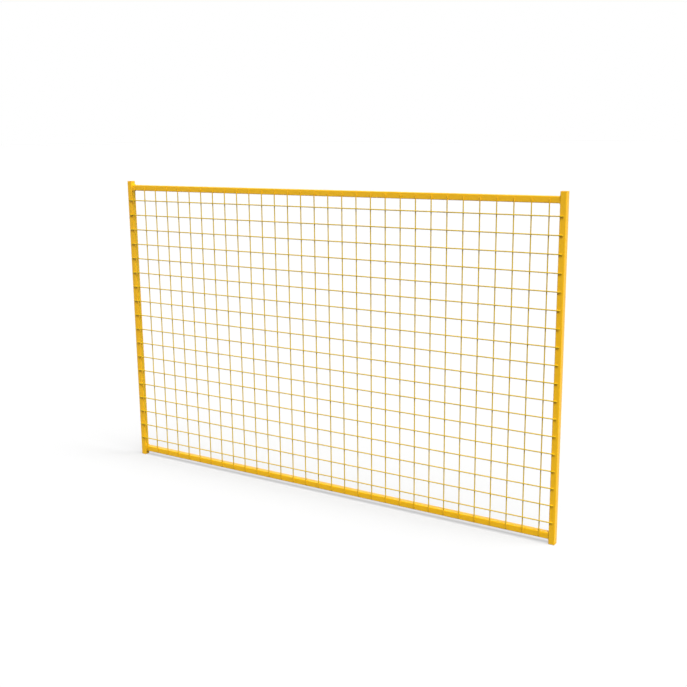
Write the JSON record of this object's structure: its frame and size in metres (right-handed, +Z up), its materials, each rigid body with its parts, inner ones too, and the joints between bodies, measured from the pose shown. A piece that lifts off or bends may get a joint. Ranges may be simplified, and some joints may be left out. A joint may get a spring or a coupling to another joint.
{
  "type": "framed wire mesh partition panel",
  "caption": "Rectangular partition panel: welded square wire mesh on the front of a square-tube steel frame, powder coated yellow, with plugged uprights that run on past the rails.",
  "frame": {"origin": "floor level, below the middle of the panel, on the centre plane of the uprights", "axes": "+X right along the panel as seen from the mesh side, +Y away from the mesh side, +Z up"},
  "size_m": [1.6, 0.026, 0.996],
  "materials": {
    "frame_coat": "semi-gloss polyester powder coat on square steel tube",
    "vertical_wire_coat": "semi-gloss polyester powder coat on round steel wire",
    "horizontal_wire_coat": "semi-gloss polyester powder coat on round steel wire",
    "plug_plastic": "satin moulded polyethylene"
  },
  "bodies": {
    "root": {"left_upright": "frame_coat", "right_upright": "frame_coat", "top_rail": "frame_coat", "bottom_rail": "frame_coat", "top_left_plug": "plug_plastic", "top_right_plug": "plug_plastic", "bottom_left_plug": "plug_plastic", "bottom_right_plug": "plug_plastic", "vertical_wire_01": "vertical_wire_coat", "vertical_wire_02": "vertical_wire_coat", "vertical_wire_03": "vertical_wire_coat", "vertical_wire_04": "vertical_wire_coat", "vertical_wire_05": "vertical_wire_coat", "vertical_wire_06": "vertical_wire_coat", "vertical_wire_07": "vertical_wire_coat", "vertical_wire_08": "vertical_wire_coat", "vertical_wire_09": "vertical_wire_coat", "vertical_wire_10": "vertical_wire_coat", "vertical_wire_11": "vertical_wire_coat", "vertical_wire_12": "vertical_wire_coat", "vertical_wire_13": "vertical_wire_coat", "vertical_wire_14": "vertical_wire_coat", "vertical_wire_15": "vertical_wire_coat", "vertical_wire_16": "vertical_wire_coat", "vertical_wire_17": "vertical_wire_coat", "vertical_wire_18": "vertical_wire_coat", "vertical_wire_19": "vertical_wire_coat", "vertical_wire_20": "vertical_wire_coat", "vertical_wire_21": "vertical_wire_coat", "vertical_wire_22": "vertical_wire_coat", "vertical_wire_23": "vertical_wire_coat", "vertical_wire_24": "vertical_wire_coat", "vertical_wire_25": "vertical_wire_coat", "vertical_wire_26": "vertical_wire_coat", "vertical_wire_27": "vertical_wire_coat", "vertical_wire_28": "vertical_wire_coat", "vertical_wire_29": "vertical_wire_coat", "vertical_wire_30": "vertical_wire_coat", "vertical_wire_31": "vertical_wire_coat", "horizontal_wire_01": "horizontal_wire_coat", "horizontal_wire_02": "horizontal_wire_coat", "horizontal_wire_03": "horizontal_wire_coat", "horizontal_wire_04": "horizontal_wire_coat", "horizontal_wire_05": "horizontal_wire_coat", "horizontal_wire_06": "horizontal_wire_coat", "horizontal_wire_07": "horizontal_wire_coat", "horizontal_wire_08": "horizontal_wire_coat", "horizontal_wire_09": "horizontal_wire_coat", "horizontal_wire_10": "horizontal_wire_coat", "horizontal_wire_11": "horizontal_wire_coat", "horizontal_wire_12": "horizontal_wire_coat", "horizontal_wire_13": "horizontal_wire_coat", "horizontal_wire_14": "horizontal_wire_coat", "horizontal_wire_15": "horizontal_wire_coat", "horizontal_wire_16": "horizontal_wire_coat", "horizontal_wire_17": "horizontal_wire_coat", "horizontal_wire_18": "horizontal_wire_coat"}
  },
  "joints": []
}
